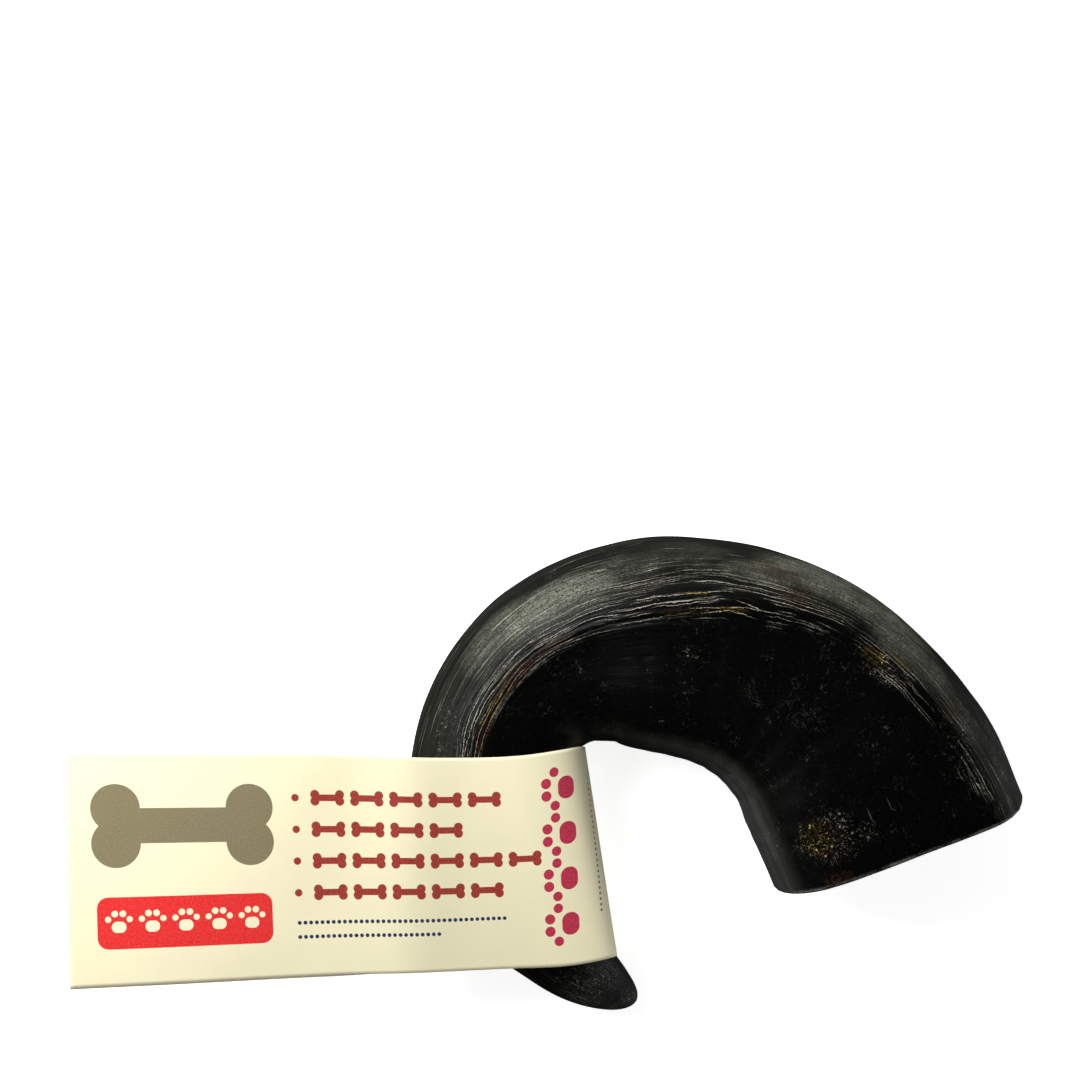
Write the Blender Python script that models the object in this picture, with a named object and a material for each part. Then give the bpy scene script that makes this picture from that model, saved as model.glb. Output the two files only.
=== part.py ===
"""A curved buffalo-horn chew lying on its side, with a paper strip wrapped round the arm near its tip.

The horn is one grown piece: a blunt solid tip, a bend of about half a turn, and a sawn, hollow base.
The strip goes once round the arm and is glued to itself, so that both ends make a double flag.
Plan dimensions are in millimetres and become metres in the meshes. Z is up, and Z = 0 is the table.
"""
import math

import bmesh
import bpy
import numpy as np

MM = 0.001

# Where the middle of the finished object's box lies in the plan below
PLAN_CENTRE = np.array([5.8, 0.8])

# The horn, from the sawn base to the tip: centre x, centre y, width across the bend,
# height, and height of the centre above the table
STATIONS = np.array([
    (86.4, -15.75, 63.8, 45.0, 22.5),
    (79.8, 0.65, 64.4, 44.8, 22.4),
    (72.45, 12.4, 61.4, 43.6, 21.8),
    (63.1, 21.5, 59.5, 42.4, 21.2),
    (51.45, 27.9, 57.2, 41.4, 20.7),
    (38.6, 31.3, 55.2, 40.4, 20.2),
    (25.2, 32.35, 52.9, 38.6, 19.4),
    (12.6, 31.0, 47.7, 35.6, 18.2),
    (1.7, 26.2, 43.4, 33.0, 17.3),
    (-6.9, 17.7, 40.2, 31.2, 16.7),
    (-12.3, 6.4, 38.4, 30.0, 16.2),
    (-13.9, -6.0, 36.6, 28.8, 15.6),
    (-11.1, -19.2, 33.0, 26.6, 14.5),
    (-5.5, -29.8, 28.9, 24.0, 13.2),
    (2.6, -39.6, 23.6, 20.2, 11.7),
    (11.1, -47.7, 17.4, 15.6, 9.2),
    (18.8, -52.7, 11.0, 10.6, 6.4),
    (24.0, -55.3, 0.0, 0.0, 6.0),
])

# How far the ridge lies from the outer edge, as a share of the width, at shares of the length
RIDGE_AT = ((0.0, 0.20), (0.10, 0.235), (0.21, 0.27), (0.30, 0.315), (0.40, 0.36),
            (0.52, 0.385), (0.65, 0.37), (0.80, 0.38), (1.0, 0.42))

TURNS_OVAL = (120.0, 178.0)  # between these distances the section turns from flat-sided to oval
SLOPE_STEP = 0.5             # how far either side of a ring its direction is taken from

RING_STEP = 4.6            # spacing of the rings along the horn
TIP_CAP = 12.0             # the last stretch, where rings crowd towards the round tip
TIP_RINGS = 5
SECTION_STEPS = 3          # facets between two neighbouring points of the section

BASE_LEAN = 5.4            # how far the top of the sawn face juts out past its foot
LEAN_FADES = 30.0          # the lean dies away over this length
SAWN_EDGE = 0.8            # worn rounding of the outer sawn edge
WALL = 8.0                 # thickness of the horn sheath at the sawn face
MOUTH_EDGE = 0.7           # worn rounding of the hollow's mouth
HOLLOW_DEPTH = 56.0
HOLLOW_RINGS = 9
HOLLOW_START = 0.12        # the first ring lies this share of a spacing inside the mouth's edge
HOLLOW_TAPER = (1.7, 0.62)  # powers that set how the hollow narrows to its round end

# The paper strip
PAPER = 0.3                # one layer
STRIP_WIDTH_ROWS = 5       # facets across the strip
FLAG_STEPS = 6
SWEEP_STEPS = 7
WRAP_STEPS = 22
RETURN_STEPS = 8

# The strip's two long edges, the one nearer the bend and the one nearer the tip. Seen along Y each is
# a teardrop: a loop round the arm, closed at the seam, and a flag from there to the end. The drift
# gives the edge's y at chosen values of x. A squareness of 2 would make the loop an ellipse; the paper
# bridges the horn's flat sides, and bends more sharply round the narrow end.
BEND_EDGE = {
    "loop centre": (-12.6, 17.0),
    "loop half size": (23.5, 16.7),
    "squareness": 3.4,
    "seam": (-47.0, 40.2),
    "flag end": (-104.0, 59.0),
    "drift": ((-104.0, 4.8), (-47.0, 4.5), (-22.0, 3.8), (-3.0, 4.5), (10.0, 6.6)),
}
TIP_EDGE = {
    "loop centre": (-2.2, 11.9),
    "loop half size": (20.7, 11.6),
    "squareness": 6.0,
    "seam": (-47.5, 35.0),
    "flag end": (-101.8, 53.0),
    "drift": ((-101.8, -45.8), (-47.5, -45.4), (-10.0, -45.4), (8.0, -44.7), (18.0, -43.0)),
}
FRONT_LEAVES = math.radians(80)     # angle on the loop where the front of the strip leaves the arm
BACK_LEAVES = math.radians(-172)    # angle on the loop where the back of the strip leaves the arm
FRONT_REACH = 12.0                  # how long the front keeps each end's direction on its way to the seam
BACK_REACH = (13.0, 9.0)            # the same for the back, where it leaves the arm and at the seam
ANGLE_STEP = 0.01                   # radians either side of a point on the loop, for its direction


def clear_scene():
    for old in list(bpy.data.objects):
        bpy.data.objects.remove(old, do_unlink=True)


def material(name, colour, roughness, metallic=0.0):
    made = bpy.data.materials.new(name)
    made.use_nodes = True
    shader = made.node_tree.nodes["Principled BSDF"]
    shader.inputs["Base Color"].default_value = (*colour, 1.0)
    shader.inputs["Roughness"].default_value = roughness
    shader.inputs["Metallic"].default_value = metallic
    made.diffuse_color = (*colour, 1.0)
    return made


def smooth_through(knots, values, at):
    """The curve through the values at the knots, with no corner at any knot."""
    knots = np.asarray(knots, float)
    values = np.asarray(values, float)
    slopes = np.gradient(values, knots, axis=0)
    i = int(np.clip(np.searchsorted(knots, at) - 1, 0, len(knots) - 2))
    span = knots[i + 1] - knots[i]
    t = (at - knots[i]) / span
    start = (2 * t**3 - 3 * t**2 + 1) * values[i] + (t**3 - 2 * t**2 + t) * span * slopes[i]
    end = (3 * t**2 - 2 * t**3) * values[i + 1] + (t**3 - t**2) * span * slopes[i + 1]
    return start + end


class HornShape:
    """The horn's outer surface, addressed by the distance from the base and a place round the section."""

    def __init__(self):
        steps = np.linalg.norm(np.diff(STATIONS[:, :2], axis=0), axis=1)
        self.knots = np.concatenate([[0.0], np.cumsum(steps)])
        self.length = self.knots[-1]
        # Squared sizes run straight to zero at the tip, which makes the tip round
        self.values = np.column_stack([STATIONS[:, :2], STATIONS[:, 2:4] ** 2, STATIONS[:, 4]])

    def frame(self, along):
        """Centre, unit vector to the outside of the bend, unit vector towards the base, and both sizes."""
        x, y, width2, height2, middle = smooth_through(self.knots, self.values, along)
        ahead = smooth_through(self.knots, self.values, min(along + SLOPE_STEP, self.length))[:2]
        behind = smooth_through(self.knots, self.values, max(along - SLOPE_STEP, 0.0))[:2]
        to_base = (behind - ahead) / np.linalg.norm(behind - ahead)
        outward = np.array([-to_base[1], to_base[0]])
        size = np.sqrt([max(width2, 0.0), max(height2, 0.0)])
        return np.array([x, y, middle]), outward, to_base, size

    def place(self, along, across, up, size=None):
        """A point of the section at this distance, from shares of its width and height."""
        centre, outward, to_base, full = self.frame(along)
        width, height = full if size is None else size
        fade = max(0.0, 1.0 - along / LEAN_FADES)
        rise = up * height
        lean = BASE_LEAN * fade**2 * rise / full[1] if full[1] > 0 else 0.0
        plan = centre[:2] + outward * across * width + to_base * lean - PLAN_CENTRE
        return (plan[0] * MM, plan[1] * MM, (centre[2] + rise) * MM)


def section_points(ridge_share, roundness):
    """The horn's section: a rounded triangle with one ridge at the top, which turns oval with roundness."""
    ridge = 0.5 - ridge_share
    band = ridge_share
    flat_sided = np.array([
        (-0.500, -0.03),
        (-0.455, 0.24),
        (-0.310, 0.405),
        ((ridge - 0.31) / 2, 0.465),
        (ridge - 0.03, 0.500),
        (ridge + 0.36 * band, 0.425),
        (ridge + 0.74 * band, 0.255),
        (0.500, -0.03),
        (0.440, -0.29),
        (0.250, -0.455),
        (0.000, -0.500),
        (-0.250, -0.465),
        (-0.430, -0.310),
    ])
    oval = 0.5 * flat_sided / np.linalg.norm(flat_sided, axis=1)[:, None]
    return flat_sided + (oval - flat_sided) * roundness


def closed_curve(points, steps):
    """A smooth closed curve through the points, with the same number of steps between all neighbours."""
    made = []
    count = len(points)
    for i in range(count):
        before, here, after, beyond = (points[(i + k) % count] for k in (-1, 0, 1, 2))
        for k in range(steps):
            t = k / steps
            made.append(0.5 * (2 * here + (after - before) * t
                               + (2 * before - 5 * here + 4 * after - beyond) * t**2
                               + (3 * here - before - 3 * after + beyond) * t**3))
    return np.array(made)


def outline_at(shape, along):
    shares, ridges = zip(*RIDGE_AT)
    ridge_share = float(smooth_through(shares, ridges, along / shape.length))
    start, end = TURNS_OVAL
    roundness = min(1.0, max(0.0, (along - start) / (end - start)))
    outline = closed_curve(section_points(ridge_share, roundness), SECTION_STEPS)
    # The section's height is taken from its lowest to its highest point
    low, high = outline[:, 1].min(), outline[:, 1].max()
    outline[:, 1] = (outline[:, 1] - low) / (high - low) - 0.5
    return outline


def add_ring(bm, points):
    return [bm.verts.new(p) for p in points]


def join_rings(bm, first, second):
    """Quads between two rings. The outside is on the right of the way from the first to the second."""
    count = len(first)
    for i in range(count):
        j = (i + 1) % count
        bm.faces.new((first[i], first[j], second[j], second[i]))


def close_ring(bm, ring, pole):
    count = len(ring)
    for i in range(count):
        bm.faces.new((ring[i], ring[(i + 1) % count], pole))


def ring_distances(length):
    """Distances from the base of the rings, evenly spaced and then crowding towards the round tip."""
    body = length - TIP_CAP
    count = round(body / RING_STEP)
    even = [SAWN_EDGE + (body - SAWN_EDGE) * i / count for i in range(count + 1)]
    turns = [math.pi / 2 * (i + 1) / (TIP_RINGS + 1) for i in range(TIP_RINGS)]
    return even + [body + TIP_CAP * math.sin(turn) for turn in turns]


def make_horn():
    shape = HornShape()
    bm = bmesh.new()

    # The outer surface, from the tip down to the sawn edge
    pole = bm.verts.new(shape.place(shape.length, 0.0, 0.0))
    rings = []
    for along in reversed(ring_distances(shape.length)):
        outline = outline_at(shape, along)
        rings.append(add_ring(bm, [shape.place(along, a, u) for a, u in outline]))

    # The sawn face, flat between the worn outer edge and the worn mouth of the hollow
    rim = outline_at(shape, 0.0)
    full = shape.frame(0.0)[3]
    sawn = full - 2 * SAWN_EDGE
    rings.append(add_ring(bm, [shape.place(0.0, a, u, sawn) for a, u in rim]))
    mouth = full - 2 * (WALL - MOUTH_EDGE)
    rings.append(add_ring(bm, [shape.place(0.0, a, u, mouth) for a, u in rim]))

    # The hollow, tapering to a round end
    for i in range(HOLLOW_RINGS):
        share = (i + HOLLOW_START) / HOLLOW_RINGS
        along = MOUTH_EDGE + (HOLLOW_DEPTH - MOUTH_EDGE) * share
        taper = (1.0 - share**HOLLOW_TAPER[0]) ** HOLLOW_TAPER[1]
        size = (shape.frame(along)[3] - 2 * WALL) * taper
        outline = outline_at(shape, along)
        rings.append(add_ring(bm, [shape.place(along, a, u, size) for a, u in outline]))
    end = bm.verts.new(shape.place(HOLLOW_DEPTH, 0.0, 0.0))

    close_ring(bm, rings[0], pole)
    for first, second in zip(rings, rings[1:]):
        join_rings(bm, second, first)
    close_ring(bm, list(reversed(rings[-1])), end)
    return finish_mesh(bm, "horn", material("horn_black", (0.011, 0.010, 0.009), 0.42), 50)


def loop_point(edge, angle):
    (cx, cz), (a, b) = edge["loop centre"], edge["loop half size"]
    cos, sin = math.cos(angle), math.sin(angle)
    power = edge["squareness"]
    reach = (abs(cos)**power + abs(sin)**power) ** (-1 / power)
    return np.array([cx + a * reach * cos, cz + b * reach * sin])


def loop_direction(edge, angle):
    """Unit direction of travel on the loop as the angle falls: over the top, to the fold, and under."""
    way = loop_point(edge, angle - ANGLE_STEP) - loop_point(edge, angle + ANGLE_STEP)
    return way / np.linalg.norm(way)


def sweep(start, start_way, end, end_way, reach, steps):
    """Points of a smooth bend that leaves and arrives in the given directions."""
    control = (start, start + start_way * reach[0], end - end_way * reach[1], end)
    made = []
    for i in range(steps + 1):
        t = i / steps
        made.append((1 - t)**3 * control[0] + 3 * t * (1 - t)**2 * control[1]
                    + 3 * t**2 * (1 - t) * control[2] + t**3 * control[3])
    return made


def strip_edge(edge):
    """One long edge of the strip: inner and outer face of the loop, and both faces of the flag."""
    seam, end = np.array(edge["seam"]), np.array(edge["flag end"])
    along_flag = (seam - end) / np.linalg.norm(seam - end)

    front_start = loop_point(edge, FRONT_LEAVES)
    back_start = loop_point(edge, BACK_LEAVES)
    front_way, back_way = loop_direction(edge, FRONT_LEAVES), loop_direction(edge, BACK_LEAVES)
    front = sweep(seam, along_flag, front_start, front_way, (FRONT_REACH, FRONT_REACH), SWEEP_STEPS)
    turn = BACK_LEAVES - FRONT_LEAVES
    wrap = [loop_point(edge, FRONT_LEAVES + turn * i / WRAP_STEPS) for i in range(1, WRAP_STEPS)]
    back = sweep(back_start, back_way, seam, -along_flag, BACK_REACH, RETURN_STEPS)
    inner = np.array(front + wrap + back)

    # The way along the strip at each point, and its left side, which is the outer face
    way = np.gradient(inner, axis=0)
    way[0], way[-1] = along_flag, -along_flag
    way /= np.linalg.norm(way, axis=1)[:, None]
    outer = inner + PAPER * np.column_stack([-way[:, 1], way[:, 0]])

    flag_side = PAPER * np.array([-along_flag[1], along_flag[0]])
    shares = [i / FLAG_STEPS for i in range(1, FLAG_STEPS + 1)]
    flag_front = np.array([seam + (end - seam) * s + flag_side for s in shares])
    flag_back = np.array([seam + (end - seam) * s - flag_side for s in shares])

    xs, ys = zip(*edge["drift"])

    def with_y(points):
        y = [smooth_through(xs, ys, min(max(x, xs[0]), xs[-1])) for x in points[:, 0]]
        return np.column_stack([points[:, 0], y, points[:, 1]])

    return {"inner": with_y(inner), "outer": with_y(outer),
            "front": with_y(flag_front), "back": with_y(flag_back)}


def make_label():
    bend, tip = strip_edge(BEND_EDGE), strip_edge(TIP_EDGE)
    bm = bmesh.new()
    rows = []
    for k in range(STRIP_WIDTH_ROWS + 1):
        share = k / STRIP_WIDTH_ROWS
        row = {}
        for part, points in bend.items():
            mixed = points + (tip[part] - points) * share
            mixed[:, :2] -= PLAN_CENTRE
            row[part] = add_ring(bm, mixed * MM)
        # The glued ends share one line at the seam
        bm.verts.remove(row["inner"][-1])
        row["inner"][-1] = row["inner"][0]
        rows.append(row)

    def skin(name, first, second):
        a, b = first[name], second[name]
        for i in range(len(a) - 1):
            yield a[i], a[i + 1], b[i + 1], b[i]

    for first, second in zip(rows, rows[1:]):
        for face in skin("outer", first, second):
            bm.faces.new(face)
        for face in skin("inner", first, second):
            bm.faces.new(reversed(face))
        # Both faces of the flag, from the seam to the end, and the end itself
        front = [[row["outer"][0]] + row["front"] for row in (first, second)]
        back = [[row["outer"][-1]] + row["back"] for row in (first, second)]
        for i in range(FLAG_STEPS):
            bm.faces.new((front[1][i], front[1][i + 1], front[0][i + 1], front[0][i]))
            bm.faces.new((back[0][i], back[0][i + 1], back[1][i + 1], back[1][i]))
        bm.faces.new((front[0][-1], front[1][-1], back[1][-1], back[0][-1]))

    # The two long edges: a ribbon round the loop, and two layers along the flag
    for row, turned in ((rows[0], False), (rows[-1], True)):
        inner, outer = row["inner"], row["outer"]
        edges = [(inner[i], inner[i + 1], outer[i + 1], outer[i]) for i in range(len(inner) - 1)]
        front, back = [outer[0]] + row["front"], [outer[-1]] + row["back"]
        edges.append((inner[0], front[0], front[1], back[1], back[0]))
        edges += [(back[i], front[i], front[i + 1], back[i + 1]) for i in range(1, FLAG_STEPS)]
        for face in edges:
            bm.faces.new(tuple(reversed(face)) if turned else face)
    return finish_mesh(bm, "label", material("label_paper", (0.90, 0.83, 0.62), 0.6), 60)


def finish_mesh(bm, name, surface, sharp_degrees):
    bmesh.ops.recalc_face_normals(bm, faces=bm.faces[:])
    mesh = bpy.data.meshes.new(name)
    bm.to_mesh(mesh)
    bm.free()
    mesh.shade_smooth()
    mesh.set_sharp_from_angle(angle=math.radians(sharp_degrees))
    mesh.materials.append(surface)
    made = bpy.data.objects.new(name, mesh)
    bpy.context.scene.collection.objects.link(made)
    return made


clear_scene()
make_horn()
make_label()
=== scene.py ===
"""A curved buffalo-horn chew lying on its side, with a paper strip wrapped round the arm near its tip.

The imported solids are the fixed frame. The horn and the paper strip are each drawn again here on the same
stations and edges, with the relief and the thickness that the plain solids leave out.
Plan dimensions are in millimetres and become metres in the meshes.
"""

import math

import bpy
import numpy as np
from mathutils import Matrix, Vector


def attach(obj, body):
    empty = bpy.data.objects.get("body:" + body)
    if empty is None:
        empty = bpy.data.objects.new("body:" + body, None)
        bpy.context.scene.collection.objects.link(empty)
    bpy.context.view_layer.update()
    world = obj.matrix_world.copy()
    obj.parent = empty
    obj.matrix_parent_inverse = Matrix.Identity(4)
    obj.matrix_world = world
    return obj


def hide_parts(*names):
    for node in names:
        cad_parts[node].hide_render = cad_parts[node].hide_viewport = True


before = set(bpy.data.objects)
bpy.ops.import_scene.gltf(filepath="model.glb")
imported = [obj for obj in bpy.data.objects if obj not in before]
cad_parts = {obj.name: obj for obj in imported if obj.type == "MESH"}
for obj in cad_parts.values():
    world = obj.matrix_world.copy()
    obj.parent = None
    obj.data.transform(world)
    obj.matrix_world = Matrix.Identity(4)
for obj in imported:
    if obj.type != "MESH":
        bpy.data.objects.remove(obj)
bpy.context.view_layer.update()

MM = 0.001
PLAN_CENTRE = np.array([5.8, 0.8])  # becomes the origin

# Seeded table that all the relief's noise is read from
NOISE_TABLE = np.random.default_rng(41).random(8192)


# Camera

CAMERA_AT = np.array([-5.8, -0.8, 368.0])
CAMERA_PITCH = math.radians(9.5)
FOCAL_PIXELS, PHOTO_PIXELS, SENSOR = 1400.0, 1080.0, 36.0


def add_camera():
    data = bpy.data.cameras.new("camera")
    data.sensor_width = SENSOR
    data.lens = FOCAL_PIXELS * SENSOR / PHOTO_PIXELS
    data.clip_start = 0.01
    data.clip_end = 20.0
    camera = bpy.data.objects.new("camera", data)
    camera.location = CAMERA_AT * MM
    camera.rotation_euler = (CAMERA_PITCH, 0.0, 0.0)
    bpy.context.scene.collection.objects.link(camera)
    bpy.context.scene.camera = camera


# Helpers for material nodes

class Graph:
    """Adds nodes to one material or world, and links values or sockets into their inputs."""

    def __init__(self, owner):
        owner.use_nodes = True
        self.tree = owner.node_tree
        self.tree.nodes.clear()

    def node(self, kind, inputs=None, **settings):
        made = self.tree.nodes.new(kind)
        for name, value in settings.items():
            setattr(made, name, value)
        for key, value in (inputs or {}).items():
            self.feed(made.inputs[key], value)
        return made

    def feed(self, socket, value):
        if isinstance(value, bpy.types.NodeSocket):
            self.tree.links.new(value, socket)
        elif isinstance(value, (tuple, list)) and len(value) == 3 and socket.type == "RGBA":
            socket.default_value = (*value, 1.0)
        else:
            socket.default_value = value

    def math(self, operation, a, b=0.0, clamp=False):
        return self.node("ShaderNodeMath", {0: a, 1: b}, operation=operation, use_clamp=clamp).outputs[0]

    def add(self, *values):
        total = values[0]
        for value in values[1:]:
            total = self.math("ADD", total, value)
        return total

    def times(self, *values):
        total = values[0]
        for value in values[1:]:
            total = self.math("MULTIPLY", total, value)
        return total

    def ramp(self, value, low, high, to_low=0.0, to_high=1.0):
        """Smooth change from to_low to to_high while the value goes from low to high."""
        return self.node("ShaderNodeMapRange", {0: value, 1: low, 2: high, 3: to_low, 4: to_high},
                         interpolation_type="SMOOTHSTEP").outputs[0]

    def mix(self, share, first, second, blend="MIX"):
        made = self.node("ShaderNodeMix", data_type="RGBA", blend_type=blend)
        for socket, value in zip((made.inputs[0], made.inputs[6], made.inputs[7]), (share, first, second)):
            self.feed(socket, value)
        return made.outputs[2]

    def scaled(self, vector, scale, shift=(0.0, 0.0, 0.0), turn=0.0):
        return self.node("ShaderNodeMapping", {"Vector": vector, "Location": shift, "Scale": scale,
                                               "Rotation": (0.0, 0.0, turn)}).outputs[0]

    def noise(self, vector, detail=2.0, rough=0.5, distortion=0.0):
        return self.node("ShaderNodeTexNoise", {"Vector": vector, "Scale": 1.0, "Detail": detail,
                                                "Roughness": rough, "Distortion": distortion}).outputs[0]

    def split(self, vector):
        return self.node("ShaderNodeSeparateXYZ", {0: vector}).outputs

    def length(self, a, b):
        return self.math("SQRT", self.add(self.times(a, a), self.times(b, b)))

    def attribute(self, name):
        return self.node("ShaderNodeAttribute", attribute_name=name).outputs["Vector"]

    def point_in_mm(self):
        return self.scaled(self.node("ShaderNodeTexCoord").outputs["Object"], (1 / MM,) * 3)

    def bump(self, height, strength, distance=1.0):
        inputs = {"Height": height, "Distance": distance * MM, "Strength": strength}
        return self.node("ShaderNodeBump", inputs).outputs[0]

    def surface(self, base, rough, normal, shine=None):
        inputs = {"Base Color": base, "Roughness": rough, "Normal": normal}
        shader = self.node("ShaderNodeBsdfPrincipled", inputs)
        if shine is not None:
            shader.inputs["Specular IOR Level"].default_value = shine
        self.node("ShaderNodeOutputMaterial", {"Surface": shader.outputs[0]})


# The horn's shape

# From the base to the tip: the middle's x and y, the width, the height, and the middle's height
STATIONS = np.array([
    (86.4, -15.75, 63.8, 45.0, 22.5),
    (79.8, 0.65, 64.4, 44.8, 22.4),
    (72.45, 12.4, 61.4, 43.6, 21.8),
    (63.1, 21.5, 59.5, 42.4, 21.2),
    (51.45, 27.9, 57.2, 41.4, 20.7),
    (38.6, 31.3, 55.2, 40.4, 20.2),
    (25.2, 32.35, 52.9, 38.6, 19.4),
    (12.6, 31.0, 47.7, 35.6, 18.2),
    (1.7, 26.2, 43.4, 33.0, 17.3),
    (-6.9, 17.7, 40.2, 31.2, 16.7),
    (-12.3, 6.4, 38.4, 30.0, 16.2),
    (-13.9, -6.0, 36.6, 28.8, 15.6),
    (-11.1, -19.2, 33.0, 26.6, 14.5),
    (-5.5, -29.8, 28.9, 24.0, 13.2),
    (2.6, -39.6, 23.6, 20.2, 11.7),
    (11.1, -47.7, 17.4, 15.6, 9.2),
    (18.8, -52.7, 11.0, 10.6, 6.4),
    (24.0, -55.3, 0.0, 0.0, 6.0),
])
# Share of the length, and the width's share between the ridge and the outer side
RIDGE_AT = ((0.0, 0.20), (0.10, 0.235), (0.21, 0.27), (0.30, 0.315), (0.40, 0.36),
            (0.52, 0.385), (0.65, 0.37), (0.80, 0.38), (1.0, 0.42))
TURNS_OVAL = (120.0, 178.0)  # the section turns oval between these distances from the base
SLOPE_STEP = 0.5           # the direction is taken over this distance either way
TIP_CAP = 12.0             # length of the round tip
BASE_LEAN = 5.4            # how much further out the sawn face's top lies than its foot
LEAN_FADES = 30.0
SAWN_EDGE = 0.8            # radius of the worn edge
WALL = 8.0
MOUTH_EDGE = 0.7
HOLLOW_DEPTH = 56.0
HOLLOW_START = 0.12        # the first ring lies this share of a spacing inside the mouth
HOLLOW_TAPER = (1.7, 0.62)

COLUMNS = 400              # vertices round the section
BODY_RINGS = 176
TIP_RINGS = 22
EDGE_RINGS = 5
FACE_RINGS = 14
HOLLOW_RINGS = 24
RIDGE_KNOT = 4             # the section's control point that lies on the ridge
REFERENCE_ALONG = 90.0     # distances round the horn are measured on the section here
UNDERSIDE_DENSITY = 0.6    # columns are sparser on the underside
UNDERSIDE_BELOW = -6.0     # the underside's height from the middle of the section
CONTROL_POINTS = 13        # of the section


def smooth_through(knots, values, at):
    """The curve through the values at the knots, with no corner at any knot."""
    knots = np.asarray(knots, float)
    values = np.asarray(values, float)
    slopes = np.gradient(values, knots, axis=0)
    i = int(np.clip(np.searchsorted(knots, at) - 1, 0, len(knots) - 2))
    span = knots[i + 1] - knots[i]
    t = (at - knots[i]) / span
    start = (2 * t**3 - 3 * t**2 + 1) * values[i] + (t**3 - 2 * t**2 + t) * span * slopes[i]
    end = (3 * t**2 - 2 * t**3) * values[i + 1] + (t**3 - t**2) * span * slopes[i + 1]
    return start + end


class HornShape:
    """The horn's outer surface, addressed by the distance from the base and a place round the section."""

    def __init__(self):
        steps = np.linalg.norm(np.diff(STATIONS[:, :2], axis=0), axis=1)
        self.knots = np.concatenate([[0.0], np.cumsum(steps)])
        self.length = self.knots[-1]
        self.values = np.column_stack([STATIONS[:, :2], STATIONS[:, 2:4] ** 2, STATIONS[:, 4]])

    def frame(self, along):
        x, y, width2, height2, middle = smooth_through(self.knots, self.values, along)
        ahead = smooth_through(self.knots, self.values, min(along + SLOPE_STEP, self.length))[:2]
        behind = smooth_through(self.knots, self.values, max(along - SLOPE_STEP, 0.0))[:2]
        to_base = (behind - ahead) / np.linalg.norm(behind - ahead)
        outward = np.array([-to_base[1], to_base[0]])
        size = np.sqrt([max(width2, 0.0), max(height2, 0.0)])
        return np.array([x, y, middle]), outward, to_base, size

    def ring(self, along, outline, inset=0.0, size=None):
        """World points in mm of a whole ring, from the outline's shares of its width and height."""
        centre, outward, to_base, full = self.frame(along)
        width, height = np.maximum(full - 2 * inset, 0.0) if size is None else size
        fade = max(0.0, 1.0 - along / LEAN_FADES)
        rise = outline[:, 1] * height
        lean = BASE_LEAN * fade**2 * rise / full[1] if full[1] > 0 else rise * 0.0
        plan = centre[:2] + outline[:, :1] * width * outward + lean[:, None] * to_base - PLAN_CENTRE
        return np.column_stack([plan, centre[2] + rise])


def section_points(ridge_share, roundness):
    ridge = 0.5 - ridge_share
    band = ridge_share
    flat_sided = np.array([
        (-0.500, -0.03),
        (-0.455, 0.24),
        (-0.310, 0.405),
        ((ridge - 0.31) / 2, 0.465),
        (ridge - 0.03, 0.500),
        (ridge + 0.36 * band, 0.425),
        (ridge + 0.74 * band, 0.255),
        (0.500, -0.03),
        (0.440, -0.29),
        (0.250, -0.455),
        (0.000, -0.500),
        (-0.250, -0.465),
        (-0.430, -0.310),
    ])
    oval = 0.5 * flat_sided / np.linalg.norm(flat_sided, axis=1)[:, None]
    return flat_sided + (oval - flat_sided) * roundness


def on_closed_curve(points, at):
    """Points of the smooth closed curve at these places, where place k is control point k."""
    count = len(points)
    k = np.floor(at).astype(int)
    t = (at - k)[:, None]
    before, here, after, beyond = (points[(k + step) % count] for step in (-1, 0, 1, 2))
    return 0.5 * (2 * here + (after - before) * t
                  + (2 * before - 5 * here + 4 * after - beyond) * t**2
                  + (3 * here - before - 3 * after + beyond) * t**3)


def outline_at(shape, along, places):
    shares, ridges = zip(*RIDGE_AT)
    ridge_share = float(smooth_through(shares, ridges, along / shape.length))
    start, end = TURNS_OVAL
    roundness = min(1.0, max(0.0, (along - start) / (end - start)))
    points = section_points(ridge_share, roundness)
    whole = on_closed_curve(points, np.arange(0, len(points), 1 / 3))
    low, high = whole[:, 1].min(), whole[:, 1].max()
    outline = on_closed_curve(points, places)
    outline[:, 1] = (outline[:, 1] - low) / (high - low) - 0.5
    return outline


def spread_columns(shape):
    """Places round the section, closer together on the upper side, and their distance from the ridge."""
    fine = np.arange(0, CONTROL_POINTS, 0.01)
    outline = outline_at(shape, REFERENCE_ALONG, fine) * shape.frame(REFERENCE_ALONG)[3]
    steps = np.linalg.norm(np.roll(outline, -1, axis=0) - outline, axis=1)
    run = np.concatenate([[0.0], np.cumsum(steps)])
    weight = steps * np.where(outline[:, 1] > UNDERSIDE_BELOW, 1.0, UNDERSIDE_DENSITY)
    spent = np.concatenate([[0.0], np.cumsum(weight)])
    edges = np.append(fine, float(CONTROL_POINTS))
    places = np.interp(np.arange(COLUMNS) / COLUMNS * spent[-1], spent, edges)
    ridge = np.interp(RIDGE_KNOT, edges, run)
    around = np.interp(places, edges, run) - ridge
    return places, around, run[-1]


HORN_PLACES, HORN_AROUND, HORN_PERIMETER = spread_columns(HornShape())
HORN_RADIUS = HORN_PERIMETER / (2 * math.pi)


# Noise for the relief

def lattice(ix, iy, iz, seed):
    mixed = (ix * 73856093) ^ (iy * 19349663) ^ (iz * 83492791) ^ (seed * 2971215073)
    return NOISE_TABLE[mixed & (len(NOISE_TABLE) - 1)]


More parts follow.
